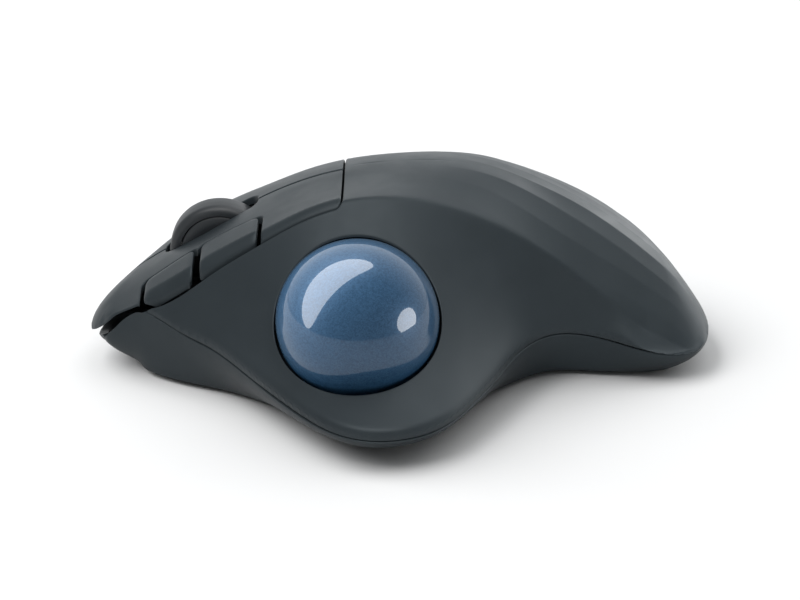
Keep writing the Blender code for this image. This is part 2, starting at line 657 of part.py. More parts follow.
def plate_on_sensor(name, near, far, width, depth, kind):
    """A box square to the sensor's line of sight."""
    made = box(name, (-width / 2, -depth / 2, near), (width / 2, depth / 2, far), kind)
    turn = Vector(SENSOR_WAY).to_track_quat("Z", "X").to_matrix().to_4x4()
    made.matrix_world = Matrix.Translation(Vector(BALL) * MM) @ turn @ made.matrix_basis
    return made


def make_sensor():
    plate_on_sensor("sensor_lens", 19.8, 21.4, 7.0, 8.0, "clear")
    plate_on_sensor("sensor_chip", 21.7, 23.7, 9.0, 9.0, "dark")
    plate_on_sensor("sensor_board", 24.0, 25.2, 14.0, 18.0, "board")


# ---------------------------------------------------------------- boards, switches, battery


def make_switch(name, stem_at):
    """A main button's switch. Its plunger sits towards the front, under the button's stem."""
    x, y = stem_at
    low = BOARD_Z[1] + GAP
    body = box(name, (x - 2.9, y - 2.9, low), (x + 9.9, y + 2.9, SWITCH_TOP - 0.4), "dark", bevel=0.3)
    cut(body, box(f"{name}_well", (x - 0.9, y - 1.7, SWITCH_TOP - 1.4), (x + 0.9, y + 1.7, SWITCH_TOP + 1)))
    box(f"{name}_plunger", (x - 0.6, y - 1.4, SWITCH_TOP - 0.1), (x + 0.6, y + 1.4, SWITCH_TOP + 0.8), "ceramic")


def make_boards():
    low, high = BOARD_Z
    box("main_board", (-52.0, -4.0, low), (-18.5, 23.6, high), "board")
    box("radio_chip", (-25.5, 12.4, high + GAP), (-19.5, 17.4, high + 1.2), "dark")
    make_switch("left_switch", LEFT_STEM)
    make_switch("right_switch", RIGHT_STEM)
    x = WHEEL[0] + 12.9
    body = box("middle_switch", (x - 3.0, 5.0, high + GAP), (x + 3.0, 11.0, 14.4), "dark", bevel=0.3)
    cut(body, rod("middle_switch_well", (x, 8.0, 13.4), (x, 8.0, 16.0), 1.9, sides=16))
    rod("middle_switch_plunger", (x, 8.0, 14.5), (x, 8.0, 15.2), 1.6, "ceramic", sides=16)

    box("side_board", (-52.2, -9.0, 11.0), (-33.2, -4.5, 12.2), "board")
    for name, x in (("forward_switch", FORWARD_STEM_X), ("back_switch", BACK_STEM_X)):
        y = SIDE_STEM_Y
        body = box(name, (x - 2.2, y - 2.1, 12.5), (x + 2.2, y + 2.1, 14.4), "dark", bevel=0.2)
        cut(body, rod(f"{name}_well", (x, y, 13.5), (x, y, 16.0), 1.4, sides=14))
        rod(f"{name}_plunger", (x, y, 14.5), (x, y, SIDE_SWITCH_TOP), 1.1, "ceramic", sides=14)


def make_battery():
    x, y, z = BATTERY_X, BATTERY_Y, BATTERY_Z
    radius, length = BATTERY_R, 49.1
    profile = [(2.7, -1.4), (2.7, 0), (radius - 0.4, 0), (radius, 0.4), (radius, length - 0.4), (radius - 0.4, length)]
    cell = solid_of_rings("battery", profile, "label", 28)
    cell.rotation_euler = (0, math.radians(90), 0)
    cell.location = Vector((x, y, z)) * MM

    box("battery_plate", (BAY[0] + GAP, y - 4.5, z - 4.5), (BAY[0] + GAP + 0.5, y + 4.5, z + 4.5), "steel")
    spring = bpy.data.curves.new("battery_spring", "CURVE")
    spring.dimensions = "3D"
    spring.bevel_depth = 0.35 * MM
    spring.bevel_resolution = 1
    spring.use_fill_caps = True
    line = spring.splines.new("POLY")
    turns, per_turn = 2.5, 14
    count = int(turns * per_turn) + 1
    line.points.add(count - 1)
    for i in range(count):
        part = i / (count - 1)
        angle = 2 * math.pi * turns * part
        wide = 5.2 - 2.4 * part
        at = BAY[1] - 0.8 - 3.2 * part
        line.points[i].co = (at * MM, (y + wide * math.cos(angle)) * MM, (z + wide * math.sin(angle)) * MM, 1)
    spring.materials.append(material("battery_spring", "steel"))
    PARTS.objects.link(bpy.data.objects.new("battery_spring", spring))


def solid_of_rings(name, profile, kind, sides):
    """A turned solid from (radius, along) pairs, closed by a flat face at each end."""
    bm = bmesh.new()
    points = [bm.verts.new((r * MM, 0, a * MM)) for r, a in profile]
    edges = [bm.edges.new((one, two)) for one, two in zip(points, points[1:])]
    bmesh.ops.spin(
        bm, geom=points + edges, cent=(0, 0, 0), axis=(0, 0, 1), angle=2 * math.pi, steps=sides, use_merge=True
    )
    bmesh.ops.holes_fill(bm, edges=[edge for edge in bm.edges if edge.is_boundary])
    return add(name, finish_mesh(name, bm), kind)


def make_receiver():
    x, y, z = POCKET[0] + 1.5, (POCKET[2] + POCKET[3]) / 2, 6.2
    shell_box = box("receiver_plug", (x, y - 6.0, z - 2.25), (x + 12.0, y + 6.0, z + 2.25), "steel")
    cut(shell_box, box("plug_mouth", (x - 1, y - 5.6, z - 0.4), (x + 9.0, y + 5.6, z + 1.9)))
    box("receiver_cap", (x + 12.3, y - 7.0, z - 3.0), (x + 19.3, y + 7.0, z + 3.0), "dark", bevel=0.8)


def make_controls():
    x, y = POWER
    slider = box("power_slider", (x - 3.4, y - 1.6, 1.0), (x + 0.4, y + 1.6, 4.2), "graphite")
    join(slider, box("slider_flange", (x - 4.6, y - 3.0, 3.2), (x + 1.6, y + 3.0, 4.1)))
    box("power_switch", (x - 5.0, y - 2.2, 5.2), (x + 5.0, y + 2.2, BOARD_Z[0] - GAP), "steel", bevel=0.2)
    x, y = CONNECT
    button = rod("connect_button", (x, y, 1.0), (x, y, 5.6), 2.1, "graphite", sides=20)
    join(button, rod("connect_flange", (x, y, 3.2), (x, y, 4.0), 3.1, sides=20))
    box("connect_switch", (x - 2.2, y - 2.2, 6.4), (x + 2.2, y + 2.2, BOARD_Z[0] - GAP), "dark", bevel=0.2)


def make_fasteners_and_feet():
    for number, (x, y) in enumerate(SCREWS, 1):
        head = rod(f"case_screw_{number}", (x, y, 2.2), (x, y, 3.9), 2.5, "steel", sides=14)
        join(head, rod(f"screw_shank_{number}", (x, y, 3.0), (x, y, 13.0), 1.2, sides=10))
        cut(head, box(f"screw_slot_{number}", (x - 1.7, y - 0.4, 1.0), (x + 1.7, y + 0.4, 2.9)))
    for number, (x, y, radius) in enumerate(FEET, 1):
        rod(f"foot_{number}", (x, y, 0), (x, y, 1.1), radius - 0.3, "rubber", end_radius=radius, sides=20)


def main():
    clear_scene()
    make_top_case()
    make_bottom_case()
    make_door()
    make_buttons()
    make_wheel()
    make_wheel_carrier()
    make_ball()
    make_sensor()
    make_boards()
    make_battery()
    make_receiver()
    make_controls()
    make_fasteners_and_feet()
    for made in list(PARTS.objects) + list(CUTTERS.objects):
        made.location -= Vector(ORIGIN) * MM


main()
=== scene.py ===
"""The looks of a wireless thumb trackball: fine shells, ball, wheel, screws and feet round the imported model.

Sizes are in millimetres unless a name says otherwise. The body surface has the same formulas as the CAD
model.
"""

import json
import math

import bmesh
import bpy
import numpy as np
from mathutils import Matrix, Vector


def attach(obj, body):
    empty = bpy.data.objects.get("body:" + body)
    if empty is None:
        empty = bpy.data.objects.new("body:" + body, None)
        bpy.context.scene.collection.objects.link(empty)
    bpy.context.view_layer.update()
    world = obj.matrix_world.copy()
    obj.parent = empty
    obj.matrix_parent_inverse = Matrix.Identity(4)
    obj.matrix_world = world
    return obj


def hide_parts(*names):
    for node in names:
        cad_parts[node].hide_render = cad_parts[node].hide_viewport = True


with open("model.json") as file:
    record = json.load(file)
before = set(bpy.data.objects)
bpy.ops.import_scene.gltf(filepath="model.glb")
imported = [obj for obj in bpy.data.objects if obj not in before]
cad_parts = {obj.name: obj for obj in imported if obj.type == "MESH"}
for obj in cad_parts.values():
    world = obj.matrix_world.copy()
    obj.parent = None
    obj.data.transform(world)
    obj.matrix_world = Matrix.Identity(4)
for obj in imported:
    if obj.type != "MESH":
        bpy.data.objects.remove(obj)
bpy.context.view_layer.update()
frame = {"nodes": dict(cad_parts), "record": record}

MM = 0.001
ORIGIN = np.array([0.2, -0.75, 0.0])  # the body formulas' point that lies at the origin of the frame

# ---------------------------------------------------------------- the body's dimensions

# Parting line: x, y, height, radius of the rolled upper edge, inward tuck of the base.
OUTLINE = [
    (-67.8, -1.5, 6.4, 6.0, 9.0),
    (-63.5, -7.6, 10.7, 3.5, 6.0),
    (-57.0, -10.4, 16.2, 2.4, 2.0),
    (-47.6, -15.5, 14.0, 2.2, 1.5),
    (-39.7, -21.5, 12.6, 2.0, 4.0),
    (-30.5, -31.5, 10.5, 2.0, 7.0),
    (-22.0, -41.2, 8.8, 2.0, 9.0),
    (-13.0, -48.6, 7.4, 2.0, 10.0),
    (-3.5, -51.0, 7.0, 2.0, 10.0),
    (7.0, -46.8, 7.0, 2.0, 10.0),
    (14.5, -37.0, 7.4, 2.0, 8.0),
    (20.4, -26.5, 8.5, 2.0, 5.0),
    (26.2, -16.6, 10.0, 2.0, 2.5),
    (33.8, -10.4, 10.5, 2.2, 1.3),
    (44.0, -10.6, 9.5, 2.6, 1.0),
    (55.0, -12.6, 7.2, 4.0, 3.0),
    (63.5, -10.2, 6.2, 6.5, 5.0),
    (67.9, -1.0, 6.2, 9.0, 6.0),
    (66.6, 12.0, 6.8, 11.0, 5.0),
    (58.0, 28.0, 8.0, 13.0, 5.0),
    (42.0, 41.0, 9.5, 15.0, 5.0),
    (20.0, 48.0, 11.0, 17.0, 7.0),
    (-5.0, 49.3, 12.0, 15.0, 8.0),
    (-30.0, 44.0, 12.0, 13.0, 8.0),
    (-50.0, 31.0, 10.5, 11.0, 8.0),
    (-62.5, 14.0, 8.8, 9.0, 9.0),
]
CENTRE = np.array([0.0, 10.0])
LENGTHWISE = 0.5

# Curves along the body: (x, value).
CREST_Z = [(-70, 12.5), (-60, 17.5), (-50, 24.5), (-40, 31), (-30, 35.5), (-20, 39.5), (-10, 42), (0, 43),
           (10, 43), (20, 41.5), (30, 38), (40, 33.5), (50, 27.5), (58, 21.5), (66, 14)]
CREST_Y = [(-68, 2), (-40, 4), (0, 5), (40, 7), (68, 4)]
CREASE_Y = [(-62, -8.5), (-50, -12), (-31, -13.5), (-12, -12.5), (4, -10.3), (20, -8), (36, -7), (50, -9),
            (64, -9)]
LEFT_SLOPE = [(-60, 0.35), (-45, 0.25), (-30, 0.05), (-12, -0.12), (0, 0.0), (12, 0.35), (26, 0.95),
              (38, 1.35), (48, 1.4), (60, 1.3)]
CREST_WIDTH = 8.0
PALM_RADIUS = 42.0
LIP_RISE, HEEL_RISE = 2.4, 2.0
CREASE_SOFT, HEEL_SOFT = 0.6, 4.5
VALLEY = (-42.0, 8.0, 9.0, 8.0, 2.0)  # the hollow round the wheel: centre x and y, length, width, depth

# The lines between the flat strips of the palm, from the thumb side over to the finger side: y at three x.
FACET_X = (10.0, 44.0, 62.0)
FACET_Y = [(-6.5, -6.5, -7.0), (0.3, -2.8, -4.0), (6.0, 1.0, -1.5), (12.5, 5.0, 1.5), (18.5, 9.5, 5.0),
           (25.0, 14.0, 9.0), (31.5, 19.5, 13.5)]

GAP = 0.3

# The ball, and the round opening that it sits in.
BALL_R = 17.0
RING_CENTRE = np.array([-8.8, -29.0, 24.3])
RING_TILT = math.radians(43.0)
RING_R = 17.45
BALL_OUT = np.array([0.0, -math.cos(RING_TILT), math.sin(RING_TILT)])
BALL = RING_CENTRE - 3.5 * BALL_OUT

# The seam behind the buttons, the split between the main ones, the spans of the side ones, and the wheel.
SEAM_X = -12.2
SPLIT_Y = 8.0
BUTTON_RISE = 1.3
SIDE_TOP_Y = -4.0
FORWARD_X = (-55.0, -44.2)
BACK_X = (-42.6, -30.2)
WHEEL = np.array([-39.5, 8.0, 22.7])
WHEEL_R, WHEEL_HALF, HUB_R = 11.1, 3.2, 8.6
SLOT_X, SLOT_Y = (-51.6, -31.0), (4.0, 12.0)

# The base: its underside above the desk, the top of its floor, and its wall.
BASE_Z, FLOOR_TOP, CASE_WALL = 0.8, 2.8, 2.0

# The underside: outlines and centres in plan. The last number of a foot is its radius.
DOOR = [(-13.5, 4.6), (45.5, 4.6), (45.5, 22.8), (37.0, 25.5), (27.0, 37.6), (0.0, 37.6), (-13.5, 25.5)]
DOOR_THICK = 1.6
HINGE_ROOM, HINGE_ROOM_TOP = [(-13.6, 4.4), (-11.45, 4.4), (-11.45, 27.4), (-13.6, 27.4)], 3.4
SCREWS = [(-36.0, -15.0), (-7.5, 38.0), (18.0, -12.0), (57.0, 5.0), (40.0, -3.4)]
FEET = [(-50.0, 2.0, 4.2), (-30.0, 33.0, 4.2), (-3.0, -37.0, 3.6), (51.0, -3.5, 4.0), (57.5, 15.5, 3.0)]
SCREW_SEAT_R = 3.1
POWER, POWER_HALF = (-30.0, 20.0), (4.0, 2.0)
CONNECT, CONNECT_R = (-30.0, 2.0), 2.5
PUSH_HOLE_R = 5.0
# The trays behind the door, for the cell and for the receiver: x, x, y, y, ceiling.
BAYS = {"battery_bay": (-12.2, 44.2, 6.0, 22.0, 18.4), "receiver_bay": (1.5, 25.0, 21.5, 36.2, 11.0)}

AROUND = 640  # points round each ring of a shell
WALL = 1.7
ROUND = 0.35  # radius of a shell's cut edges


# ---------------------------------------------------------------- curves and the body surface


def spline(points):
    """A natural cubic through (x, value) points, straight beyond its ends."""
    xs = np.array([p[0] for p in points], float)
    ys = np.array([p[1] for p in points], float)
    count, step = len(xs), np.diff(xs)
    matrix, right = np.eye(count), np.zeros(count)
    for i in range(1, count - 1):
        matrix[i, i - 1:i + 2] = step[i - 1], 2 * (step[i - 1] + step[i]), step[i]
        right[i] = 6 * ((ys[i + 1] - ys[i]) / step[i] - (ys[i] - ys[i - 1]) / step[i - 1])
    bend = np.linalg.solve(matrix, right)
    slope_in = (ys[1] - ys[0]) / step[0] - bend[1] * step[0] / 6
    slope_out = (ys[-1] - ys[-2]) / step[-1] + bend[-2] * step[-1] / 6

    def value(x):
        x = np.asarray(x, float)
        inside = np.clip(x, xs[0], xs[-1])
        i = np.clip(np.searchsorted(xs, inside) - 1, 0, count - 2)
        before, after, h = xs[i + 1] - inside, inside - xs[i], step[i]
        curve = (bend[i] * before**3 + bend[i + 1] * after**3) / (6 * h)
        chord = (ys[i] / h - bend[i] * h / 6) * before + (ys[i + 1] / h - bend[i + 1] * h / 6) * after
        ends = np.minimum(x - xs[0], 0) * slope_in + np.maximum(x - xs[-1], 0) * slope_out
        return curve + chord + ends

    return value


def closed_curve(rows, samples):
    """A smooth closed curve through the rows, sampled evenly along its length."""
    rows = np.array(rows, float)
    wrap = 3
    run = np.vstack([rows[-wrap:], rows, rows[:wrap + 1]])
    knots = np.concatenate([[0], np.cumsum(np.sqrt(np.linalg.norm(np.diff(run[:, :2], axis=0), axis=1)))])
    fine = np.linspace(knots[wrap], knots[wrap + len(rows)], samples * 8 + 1)
    dense = np.stack([spline(list(zip(knots, run[:, c])))(fine) for c in range(rows.shape[1])], 1)
    length = np.concatenate([[0], np.cumsum(np.linalg.norm(np.diff(dense[:, :2], axis=0), axis=1))])
    even = np.linspace(0, length[-1], samples, endpoint=False)
    return np.stack([np.interp(even, length, dense[:, c]) for c in range(rows.shape[1])], 1)


crest_z, crest_y, crease_y, left_slope = (spline(p) for p in (CREST_Z, CREST_Y, CREASE_Y, LEFT_SLOPE))
facet_lines = [spline(list(zip(FACET_X, ys))) for ys in FACET_Y]
EDGE = closed_curve(OUTLINE, 2400)
THUMB = EDGE[(EDGE[:, 1] < -3) & (EDGE[:, 0] > -64.5) & (EDGE[:, 0] < 65.5)]
THUMB = THUMB[np.argsort(THUMB[:, 0])]


def smooth(value):
    """Goes from 0 to 1 as the value does, with no corner at either end."""
    part = np.clip(value, 0, 1)
    return part * part * (3 - 2 * part)


def dome(x, y):
    """The palm and the buttons: a crest that slopes to the thumb side and rounds off to the finger side."""
    across = y - crest_y(x)
    u = np.minimum(across, 0) / CREST_WIDTH
    thumb_drop = left_slope(x) * CREST_WIDTH * (np.sqrt(1 + u * u) - 1)
    finger_drop = np.maximum(across, 0) ** 2 / (2 * PALM_RADIUS)
    vx, vy, vl, vw, depth = VALLEY
    dip = depth * np.exp(-((x - vx) / vl) ** 2 - ((y - vy) / vw) ** 2)
    return crest_z(x) - thumb_drop - finger_drop - dip


def heel(x):
    """0 along the thumb panel, rising smoothly to 1 at the heel."""
    return smooth((x - 40) / 24)


def panel(x, y):
    """The hollow thumb panel, from the lip at the parting line up to the crease."""
    lip_y = np.interp(x, THUMB[:, 0], THUMB[:, 1])
    lip_z = np.interp(x, THUMB[:, 0], THUMB[:, 2]) + LIP_RISE + HEEL_RISE * heel(x)
    top_y = np.maximum(crease_y(x), lip_y + 1)
    t = np.maximum((y - lip_y) / (top_y - lip_y), 0)
    rise = np.where(t < 1, 0.45 * t + 0.55 * t * t, 1 + 1.55 * (t - 1))
    clear = 2.5 * heel(x) * np.maximum(y - top_y, 0)
    return lip_z + np.maximum(dome(x, top_y) - lip_z, 1.5) * rise + clear


def height(x, y):
    """The lower of the dome and the panel, with a crease between them that fades out towards the heel."""
    soft = CREASE_SOFT + HEEL_SOFT * heel(x)
    a, b = dome(x, y), panel(x, y)
    return (a + b - np.sqrt((a - b) ** 2 + soft * soft)) / 2


def facet_share(x):
    """How flat the strips of the palm are: not at all by the buttons, fully over the rear half."""
    return smooth((x - 4) / 26) * (1 - smooth((x - 56) / 9))


def faceted(x, y):
    """The height with the palm's flat strips in it."""
    smooth_z = height(x, y)
    flat_z = smooth_z.copy()
    share = facet_share(x)
    for low, high in zip(facet_lines, facet_lines[1:]):
        y0, y1 = low(x), high(x)
        there = (y >= y0) & (y < y1) & (share > 0)
        t = (y - y0) / (y1 - y0)
        chord = (1 - t) * height(x, y0) + t * height(x, y1)
        flat_z = np.where(there, chord, flat_z)
    return smooth_z + share * (flat_z - smooth_z)


def nearest_edge(x, y):
    """Distance to the parting line in plan, and the row of EDGE it is nearest to."""
    flat = np.stack([np.ravel(x), np.ravel(y)], 1)
    away, row = np.empty(len(flat)), np.empty(len(flat), int)
    for start in range(0, len(flat), 4000):
        part = slice(start, start + 4000)
        distance = np.linalg.norm(flat[part, None] - EDGE[None, :, :2], axis=2)
        row[part] = distance.argmin(1)
        away[part] = distance.min(1)
    return away.reshape(np.shape(x)), row.reshape(np.shape(x))


def rise_at(x, raised):
    """How far a shell's edge lies above the parting line. A button's comes down to the case at the seam."""
    return GAP / 2 + (raised - GAP / 2) * np.clip((5 - x) / 15, 0, 1)


def surface(x, y, raised):
    """The outer surface, rolled over at its edge, then the edge's height, and the distance from it in plan.

    A small roll is a fuller curve than a quarter circle, so that it reads as a lip.
    """
    away, row = nearest_edge(x, y)
    low = EDGE[row, 2] + rise_at(x, raised)
    u = np.clip(1 - away / EDGE[row, 3], 0, 1)
    power = 2 + 1.6 * smooth((4.5 - EDGE[row, 3]) / 2)
    return low + (1 - u**power) ** (1 / power) * (faceted(x, y) - low), low, away


def inward(start, part):
    """Plan points moved this part of the way from the parting line to the middle of the body."""
    x = CENTRE[0] + (start[:, 0] - CENTRE[0]) * (1 - part) ** LENGTHWISE
    y = CENTRE[1] + (start[:, 1] - CENTRE[1]) * (1 - part)
    return x, y


def ring_start():
    """Points along the parting line, and the fraction that moves each one a millimetre inwards."""
    start = closed_curve(OUTLINE, AROUND)
    way = (CENTRE - start[:, :2]) * (LENGTHWISE, 1)
    along = np.roll(start[:, :2], -1, 0) - np.roll(start[:, :2], 1, 0)
    across = np.abs(along[:, 0] * way[:, 1] - along[:, 1] * way[:, 0]) / np.linalg.norm(along, axis=1)
    return start, 1 / np.maximum(across, 12)


def plan_rings():
    """Rings of plan points from the parting line to the middle: dense on the rolled edge, then even."""
    start, per_mm = ring_start()
    rolled = np.clip(start[:, 3] * per_mm, 0, 0.6)
    parts = [rolled * (1 - math.cos(math.radians(a))) for a in (0, 6, 12, 20, 28, 37, 46, 56, 67, 78, 90)]
    for step in np.linspace(0, 1, 52)[1:-1]:
        parts.append(rolled + (1 - rolled) * step)
    return [np.stack(inward(start, part), 1) for part in parts]


RINGS = plan_rings()


# ---------------------------------------------------------------- plan meshes, cut along curves


class Plan:
    """A flat mesh of the body in plan that can be cut along the zero line of a function of (x, y)."""

    def __init__(self):
        self.bm = bmesh.new()
        loops = [[self.bm.verts.new((x, y, 0)) for x, y in ring] for ring in RINGS]
        for one, two in zip(loops, loops[1:]):
            for i in range(AROUND):
                j = (i + 1) % AROUND
                self.bm.faces.new((one[i], one[j], two[j], two[i]))
        tip = self.bm.verts.new((*CENTRE, 0))
        for i in range(AROUND):
            self.bm.faces.new((loops[-1][i], loops[-1][(i + 1) % AROUND], tip))
        self.rules = []

    def values(self, verts, rule):
        """The rule's value at each point."""
        xy = np.array([v.co[:2] for v in verts])
        return rule(xy[:, 0], xy[:, 1])

    def snap(self, verts, rule, level):
        """Moves points that lie very near the line onto it."""
        step = 0.01
        for v in verts:
            x, y = v.co[:2]
            around = rule(np.array([x, x + step, x - step, x, x]), np.array([y, y, y, y + step, y - step]))
            slope = np.array([around[1] - around[2], around[3] - around[4]]) / (2 * step)
            move = -(around[0] - level) * slope / max(slope @ slope, 0.05)
            v.co.x += move[0]
            v.co.y += move[1]

    def line(self, rule, level=0.0):
        """Adds a line of edges where the rule has this value."""
        verts = list(self.bm.verts)
        value = dict(zip(verts, self.values(verts, rule) - level))
        close = {v for v in verts if abs(value[v]) < 0.03}
        self.snap(close, rule, level)
        crossed = []
        for edge in list(self.bm.edges):
            a, b = edge.verts
            if a not in close and b not in close and (value[a] > 0) != (value[b] > 0):
                crossed.append((edge, a, value[a] / (value[a] - value[b])))
        new = [bmesh.utils.edge_split(edge, a, share)[1] for edge, a, share in crossed]
        self.snap(new, rule, level)
        bmesh.ops.connect_verts(self.bm, verts=new + list(close))

    def trim(self, rule, levels=(0.05, 0.13, 0.25, 0.42)):
        """Keeps the part where the rule is positive, with close lines along the new edge for its rounding."""
        self.line(rule)
        faces = list(self.bm.faces)
        middles = np.array([f.calc_center_median()[:2] for f in faces])
        value = rule(middles[:, 0], middles[:, 1])
        bmesh.ops.delete(self.bm, geom=[f for f, v in zip(faces, value) if v < 0], context="FACES")
        for level in levels:
            self.line(rule, level)
        self.rules.append(rule)


def corner(a, b, radius):
    """The distance inside two crossing edges, with their corner rounded."""
    return radius - np.hypot(np.maximum(radius - a, 0), np.maximum(radius - b, 0)) + np.maximum(
        np.minimum(a, b) - radius, 0)


def above_crease(shift):
    """Distance above the line that lies this far from the crease."""
    return lambda x, y: (y - crease_y(x) - shift) * 0.97


def rounding(away):
    """How far a surface drops near its edge, as a quarter circle."""
    inside = np.clip(ROUND - away, 0, ROUND)
    return ROUND - np.sqrt(np.maximum(ROUND**2 - inside**2, 0))


def loft_shell(name, plan, raised, extra=None):
    """Lifts a plan mesh onto the body, rounds its cut edges, and closes it underneath."""
    bm = plan.bm
    verts = list(bm.verts)
    xy = np.array([v.co[:2] for v in verts])
    x, y = xy[:, 0], xy[:, 1]
    full, low, away = surface(x, y, raised)
    if extra:
        full = full + extra(x, y)
    z = full - sum(rounding(rule(x, y)) for rule in plan.rules)
    under = np.stack([x, y, full], 1) - WALL * outward(x, y)
    under[:, 2] = np.minimum(np.maximum(under[:, 2], low), z - 0.02)
    boundary = [e for e in bm.edges if e.is_boundary]
    rim = {v for e in boundary for v in e.verts}
    top = list(bm.faces)
    below = {}
    for i, v in enumerate(verts):
        v.co.z = z[i]
        on_parting = v in rim and away[i] < 0.02
        below[v] = v if on_parting else bm.verts.new(under[i])
    for face in top:
        under_face = [below[v] for v in reversed(face.verts)]
        if set(under_face) != set(face.verts):
            bm.faces.new(under_face)
    for edge in boundary:
        a, b = edge.verts
        ring = list(dict.fromkeys([a, b, below[b], below[a]]))
        if len(ring) > 2:
            bm.faces.new(ring)
    return finish(name, bm)


def mark_sharp(bm, angle):
    """Smooth shading, with a crisp line along every edge that turns by more than this many degrees."""
    for face in bm.faces:
        face.smooth = True
    for edge in bm.edges:
        edge.smooth = len(edge.link_faces) != 2 or edge.calc_face_angle(0) < math.radians(angle)


def finish(name, bm):
    """Turns a bmesh in the body's millimetres into a smooth-shaded object in the frame."""
    bmesh.ops.recalc_face_normals(bm, faces=bm.faces)
    mark_sharp(bm, 50)
    bmesh.ops.translate(bm, vec=-Vector(ORIGIN), verts=bm.verts)
    bmesh.ops.scale(bm, vec=(MM, MM, MM), verts=bm.verts)
    mesh = bpy.data.meshes.new(name)
    bm.to_mesh(mesh)
    bm.free()
    made = bpy.data.objects.new(name, mesh)
    bpy.context.scene.collection.objects.link(made)
    return made


def outward(x, y):
    """The way out through the shell's wall: straight up, and along the ball's axis next to the ball."""
    near = smooth(1 - opening(x, y) / 7)[:, None]
    way = (1 - near) * np.array([0, 0, 1.0]) + near * BALL_OUT
    return way / np.linalg.norm(way, axis=1)[:, None]


def opening(x, y):
    """Distance outside the round opening for the ball, measured from its axis."""
    away = np.stack([x, y, height(x, y)], -1) - RING_CENTRE
    along = away @ BALL_OUT
    return np.linalg.norm(away - along[..., None] * BALL_OUT, axis=-1) - RING_R


# ---------------------------------------------------------------- the pieces of the case


def side_notch(span, before, after, top):
    """Distance inside the plan area of a side button."""
    def rule(x, y):
        across = corner(x - span[0] + before, span[1] + after - x, 1.2)
        return corner(across, SIDE_TOP_Y + top - y, 1.4)
    return rule


def hood(shift, seam, radius):
    """Distance inside the plan area of the buttons."""
    return lambda x, y: corner(seam - x, above_crease(shift)(x, y), radius)


def wheel_slot(x, y):
    """Distance inside the plan area of the opening round the wheel."""
    lengthwise = corner(x - SLOT_X[0], SLOT_X[1] - x, 3.0)
    crosswise = corner(y - SLOT_Y[0], SLOT_Y[1] - y, 3.0)
    return corner(lengthwise, crosswise, 3.0)


def lower_face(shift, drop, width):
    """The steep face of a button from its crease to the gap along the panel. It fades out at the nose."""
    def change(x, y):
        near = np.clip(1 - above_crease(shift)(x, y) / width, 0, 1)
        return -drop * smooth((x + 57.0) / 6.0) * near**1.6
    return change


def make_top_case():
    """The palm and the thumb panel, with crisp lines along the crease and between the facets."""
    plan = Plan()
    in_hood = hood(-0.8, SEAM_X + 0.2, 1.6)
    plan.trim(lambda x, y: -in_hood(x, y))
    plan.trim(opening)
    for side in (-1.2, -0.6, -0.3, 0.0, 0.3, 0.6, 1.2):
        plan.line(above_crease(0), side)
    for line in facet_lines:
        for side in (-0.22, 0.22):
            plan.line(lambda x, y: y - line(x), side)
    shell = loft_shell("top_shell", plan, GAP / 2)
    return dress(shell, "case", "top_case", "graphite")


def make_main_buttons():
    """The left one down to the crease, notched for the side buttons, and the right one beyond the split."""
    left = Plan()
    left.trim(hood(0.3, SEAM_X - 0.2, 1.2))
    left.trim(lambda x, y: SPLIT_Y - 0.3 - y)
    left.trim(lambda x, y: -wheel_slot(x, y))
    forward, back = side_notch(FORWARD_X, 0.9, 0.9, 0.55), side_notch(BACK_X, 0.9, 0.9, 0.55)
    left.trim(lambda x, y: -forward(x, y))
    left.trim(lambda x, y: -back(x, y))
    for level in (0.8, 1.2, 1.6, 2.0):
        left.line(above_crease(0.3), level)
    shell = loft_shell("left_button_shell", left, BUTTON_RISE, lower_face(0.3, 1.6, 2.0))
    dress(shell, "left_button", "left_button", "graphite")
    right = Plan()
    right.trim(lambda x, y: SEAM_X - 0.2 - x)
    right.trim(lambda x, y: y - SPLIT_Y - 0.3)
    right.trim(lambda x, y: -wheel_slot(x, y))
    dress(loft_shell("right_button_shell", right, BUTTON_RISE), "right_button", "right_button", "graphite")


def make_side_buttons():
    """Two buttons that stand a little proud of the left one, with softened ends."""
    for name, span in (("forward_button", FORWARD_X), ("back_button", BACK_X)):
        area = side_notch(span, 0.0, 0.0, 0.0)
        plan = Plan()
        plan.trim(lambda x, y: corner(area(x, y), above_crease(0.6)(x, y), 0.8))
        for level in (0.8, 1.2, 1.6, 2.0):
            plan.line(above_crease(0.6), level)

        def proud(x, y):
            softened = np.clip(1 - area(x, y) / 1.2, 0, 1) ** 2
            return 0.6 + lower_face(0.6, 2.0, 2.0)(x, y) - 0.35 * softened

        dress(loft_shell(f"{name}_shell", plan, BUTTON_RISE, proud), name, name, "graphite")


def dress(piece, body, node, slot, material=None):
    """Rides a piece on its body in place of a CAD node, with the slot's look or another one."""
    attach(piece, body)
    if node:
        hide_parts(node)
    piece.data.materials.clear()
    piece.data.materials.append(LOOKS[material or slot])
    return piece


def wall_ring(level, inset, foot_z):
    """One ring of the base's wall, set back under the nose of the buttons and lower where they travel."""
    start, per_mm = ring_start()
    set_back = 1.6 * smooth((-63.5 - start[:, 0]) / 3.5)
    x, y = inward(start, (start[:, 4] * (1 - level) ** 1.7 + inset + set_back) * per_mm)
    under_button = smooth((y - crease_y(x) + 0.4) / 0.5) * smooth((-4.0 - y) / 2.0)
    travel = 1.2 * smooth((-53.0 - x) / 2.5) * under_button
    return np.stack([x, y, foot_z + (start[:, 2] - GAP / 2 - travel - foot_z) * level], 1)


